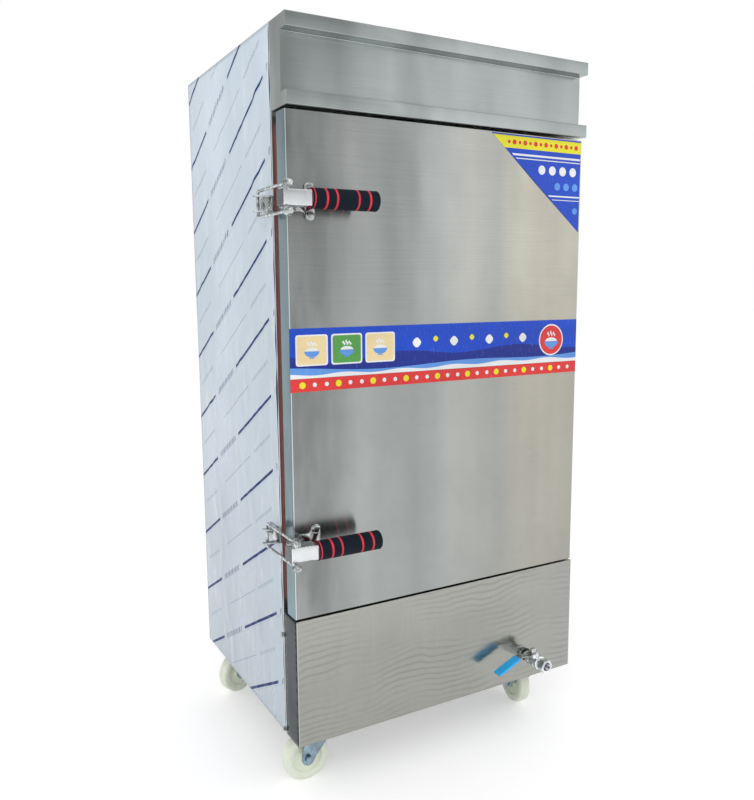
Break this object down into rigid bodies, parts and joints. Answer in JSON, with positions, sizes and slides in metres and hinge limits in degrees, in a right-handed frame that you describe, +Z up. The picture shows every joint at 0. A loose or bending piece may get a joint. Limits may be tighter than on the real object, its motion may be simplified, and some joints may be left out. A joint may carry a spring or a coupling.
{
  "type": "rice steamer cabinet",
  "caption": "Upright stainless steel steaming cabinet with an insulated side-hinged door, toggle latches, trays on racks, a water tank with drain valve, and swivel casters.",
  "frame": {"origin": "centre of the whole footprint, on the floor under the wheels", "axes": "+Z up; -Y out of the door; +X to the hinge side (the right, seen from the front)"},
  "size_m": [0.7462, 0.6604, 1.533],
  "materials": {
    "brushed_stainless": "fine vertical brushed grain",
    "filmed_stainless": "brushed sheet under pale protective film",
    "chamber_stainless": "satin",
    "bright_stainless": "bright polished",
    "insulation_foam": "rigid cellular foam",
    "red_silicone": "matte",
    "grip_foam": "fine-pored foam",
    "blue_zinc": "blue zinc plate",
    "white_nylon": "satin",
    "chromed_brass": "polished chrome plate",
    "blue_vinyl": "soft gloss",
    "black_rubber": "matte",
    "element_sheath": "oxidised",
    "terminal_plastic": "fine texture",
    "base_steel": "mill finish"
  },
  "bodies": {
    "cabinet": {"left_side_panel": "filmed_stainless", "right_side_panel": "brushed_stainless", "back_panel": "brushed_stainless", "top_panel": "brushed_stainless", "front_frame": "brushed_stainless", "fascia": "brushed_stainless", "lower_front_panel": "brushed_stainless", "chamber_liner": "chamber_stainless", "water_tank": "chamber_stainless", "steam_plate": "chamber_stainless", "tray_rack_left": "chamber_stainless", "tray_rack_right": "chamber_stainless", "tray_1": "chamber_stainless", "tray_2": "chamber_stainless", "tray_3": "chamber_stainless", "tray_4": "chamber_stainless", "steam_vent": "bright_stainless", "water_inlet": "bright_stainless", "drain_pipe": "bright_stainless", "hinge_lower_body_leaf": "bright_stainless", "lower_latch_strike": "bright_stainless", "hinge_upper_body_leaf": "bright_stainless", "upper_latch_strike": "bright_stainless", "insulation": "insulation_foam", "base_frame": "base_steel", "heating_element": "element_sheath", "terminal_cover": "terminal_plastic", "pipe_grommet": "black_rubber", "valve_body": "chromed_brass", "caster_front_left_plate": "blue_zinc", "caster_front_right_plate": "blue_zinc", "caster_rear_left_plate": "blue_zinc", "caster_rear_right_plate": "blue_zinc"},
    "door": {"door_skin": "brushed_stainless", "door_liner": "chamber_stainless", "door_foam": "insulation_foam", "door_gasket": "red_silicone", "hinge_lower_door_leaf": "bright_stainless", "hinge_upper_door_leaf": "bright_stainless", "upper_latch_bracket": "bright_stainless", "lower_latch_bracket": "bright_stainless"},
    "valve_handle": {"valve_stem": "chromed_brass", "valve_handle": "bright_stainless", "handle_sleeve": "blue_vinyl"},
    "upper_latch_lever": {"upper_latch_lever": "bright_stainless", "upper_latch_grip": "grip_foam"},
    "upper_latch_bail": {"upper_latch_trunnion": "bright_stainless", "upper_latch_bail": "bright_stainless"},
    "lower_latch_lever": {"lower_latch_lever": "bright_stainless", "lower_latch_grip": "grip_foam"},
    "lower_latch_bail": {"lower_latch_trunnion": "bright_stainless", "lower_latch_bail": "bright_stainless"},
    "caster_front_left_fork": {"caster_front_left_fork": "blue_zinc"},
    "caster_front_left_wheel": {"caster_front_left_wheel": "white_nylon"},
    "caster_front_right_fork": {"caster_front_right_fork": "blue_zinc"},
    "caster_front_right_wheel": {"caster_front_right_wheel": "white_nylon"},
    "caster_rear_left_fork": {"caster_rear_left_fork": "blue_zinc"},
    "caster_rear_left_wheel": {"caster_rear_left_wheel": "white_nylon"},
    "caster_rear_right_fork": {"caster_rear_right_fork": "blue_zinc"},
    "caster_rear_right_wheel": {"caster_rear_right_wheel": "white_nylon"}
  },
  "joints": [
    {"name": "door_hinge", "type": "hinge", "parent": "cabinet", "child": "door", "pos_m": [0.36715, -0.20525, 0.856], "axis": [0, 0, 1], "range_deg": [0, 180]},
    {"name": "upper_latch_pivot", "type": "hinge", "parent": "door", "child": "upper_latch_lever", "pos_m": [-0.36185, -0.29175, 1.17], "axis": [0, 0, -1], "range_deg": [0, 110]},
    {"name": "upper_bail_pivot", "type": "hinge", "parent": "upper_latch_lever", "child": "upper_latch_bail", "pos_m": [-0.36085, -0.30575, 1.17], "axis": [0, 0, 1], "range_deg": [0, 110]},
    {"name": "lower_latch_pivot", "type": "hinge", "parent": "door", "child": "lower_latch_lever", "pos_m": [-0.36185, -0.29175, 0.5345], "axis": [0, 0, -1], "range_deg": [0, 110]},
    {"name": "lower_bail_pivot", "type": "hinge", "parent": "lower_latch_lever", "child": "lower_latch_bail", "pos_m": [-0.36085, -0.30575, 0.5345], "axis": [0, 0, 1], "range_deg": [0, 110]},
    {"name": "valve_lever", "type": "hinge", "parent": "cabinet", "child": "valve_handle", "pos_m": [0.22865, -0.29525, 0.177], "axis": [-0.3811, 0, 0.9245], "range_deg": [0, 90]},
    {"name": "caster_front_left_swivel", "type": "hinge", "parent": "cabinet", "child": "caster_front_left_fork", "pos_m": [-0.26535, -0.17625, 0.11], "axis": [0, 0, 1], "continuous": true},
    {"name": "caster_front_left_roll", "type": "hinge", "parent": "caster_front_left_fork", "child": "caster_front_left_wheel", "pos_m": [-0.29335, -0.17625, 0.04885], "axis": [0, -1, 0], "continuous": true},
    {"name": "caster_front_right_swivel", "type": "hinge", "parent": "cabinet", "child": "caster_front_right_fork", "pos_m": [0.28465, -0.17625, 0.11], "axis": [0, 0, 1], "continuous": true},
    {"name": "caster_front_right_roll", "type": "hinge", "parent": "caster_front_right_fork", "child": "caster_front_right_wheel", "pos_m": [0.28855, -0.14852, 0.04885], "axis": [-0.9903, 0.1392, 0], "continuous": true},
    {"name": "caster_rear_left_swivel", "type": "hinge", "parent": "cabinet", "child": "caster_rear_left_fork", "pos_m": [-0.26535, 0.25375, 0.11], "axis": [0, 0, 1], "continuous": true},
    {"name": "caster_rear_left_roll", "type": "hinge", "parent": "caster_rear_left_fork", "child": "caster_rear_left_wheel", "pos_m": [-0.29213, 0.24556, 0.04885], "axis": [0.2924, -0.9563, 0], "continuous": true},
    {"name": "caster_rear_right_swivel", "type": "hinge", "parent": "cabinet", "child": "caster_rear_right_fork", "pos_m": [0.28465, 0.25375, 0.11], "axis": [0, 0, 1], "continuous": true},
    {"name": "caster_rear_right_roll", "type": "hinge", "parent": "caster_rear_right_fork", "child": "caster_rear_right_wheel", "pos_m": [0.3061, 0.27175, 0.04885], "axis": [-0.6428, 0.766, 0], "continuous": true}
  ],
  "couplings": [
    {"joint": "upper_bail_pivot", "follows": "upper_latch_pivot", "ratio": 1},
    {"joint": "lower_bail_pivot", "follows": "lower_latch_pivot", "ratio": 1}
  ]
}
